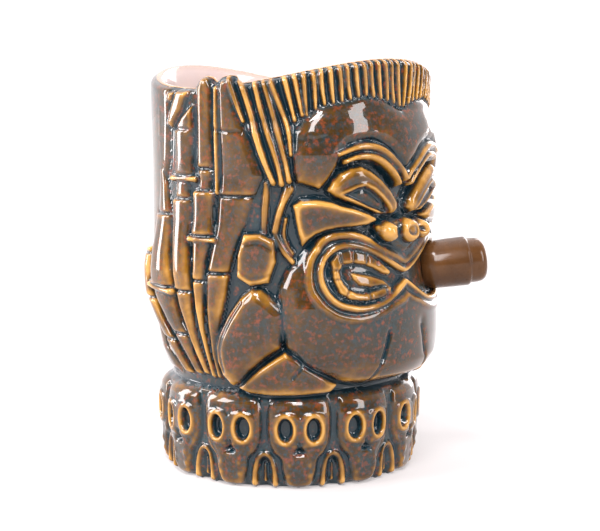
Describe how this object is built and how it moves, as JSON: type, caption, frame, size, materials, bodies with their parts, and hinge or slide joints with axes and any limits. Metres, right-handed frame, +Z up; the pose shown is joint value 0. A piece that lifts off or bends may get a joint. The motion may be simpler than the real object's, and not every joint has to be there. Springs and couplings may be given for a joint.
{
  "type": "tiki mug",
  "caption": "Glazed ceramic cup in the form of a squat idol's head held by bony hands, on a ring of skulls, with a stubby cigar in its mouth.",
  "frame": {"origin": "centre of the flat underside that the mug rests on", "axes": "+Z up along the mug's axis, the idol's face towards -Y, its own right hand towards -X"},
  "size_m": [0.1152, 0.126, 0.1611],
  "materials": {
    "cup_glaze": "gloss",
    "base_glaze": "gloss",
    "skull_glaze": "gloss",
    "hair_glaze": "gloss",
    "face_glaze": "gloss",
    "mouth_glaze": "gloss",
    "limb_glaze": "gloss",
    "bone_glaze": "gloss",
    "cigar_glaze": "gloss"
  },
  "bodies": {
    "root": {"cup_shell": "cup_glaze", "base_ring": "base_glaze", "skull_01": "skull_glaze", "skull_02": "skull_glaze", "skull_03": "skull_glaze", "skull_04": "skull_glaze", "skull_05": "skull_glaze", "skull_06": "skull_glaze", "skull_07": "skull_glaze", "skull_08": "skull_glaze", "skull_09": "skull_glaze", "skull_10": "skull_glaze", "skull_11": "skull_glaze", "skull_12": "skull_glaze", "hair_crown": "hair_glaze", "hair_lock_right": "hair_glaze", "hair_lock_left": "hair_glaze", "forehead": "face_glaze", "brow_right": "face_glaze", "brow_left": "face_glaze", "eyelid_right": "face_glaze", "eyelid_left": "face_glaze", "eye_right": "face_glaze", "eye_left": "face_glaze", "cheek_right": "face_glaze", "cheek_left": "face_glaze", "nose_tip": "face_glaze", "nostril_right": "face_glaze", "nostril_left": "face_glaze", "upper_lip": "mouth_glaze", "lower_lip": "mouth_glaze", "upper_teeth": "mouth_glaze", "lower_teeth": "mouth_glaze", "tongue": "mouth_glaze", "jowl_right": "face_glaze", "jowl_left": "face_glaze", "chin": "face_glaze", "ear_right": "face_glaze", "ear_left": "face_glaze", "arm_right": "limb_glaze", "arm_left": "limb_glaze", "knee_right": "limb_glaze", "knee_left": "limb_glaze", "foot_right": "limb_glaze", "foot_left": "limb_glaze", "thumb_finger_right": "bone_glaze", "thumb_finger_left": "bone_glaze", "index_finger_right": "bone_glaze", "index_finger_left": "bone_glaze", "middle_finger_right": "bone_glaze", "middle_finger_left": "bone_glaze", "ring_finger_right": "bone_glaze", "ring_finger_left": "bone_glaze", "little_finger_right": "bone_glaze", "little_finger_left": "bone_glaze", "back_right": "cup_glaze", "back_left": "cup_glaze", "cigar": "cigar_glaze"}
  },
  "joints": []
}
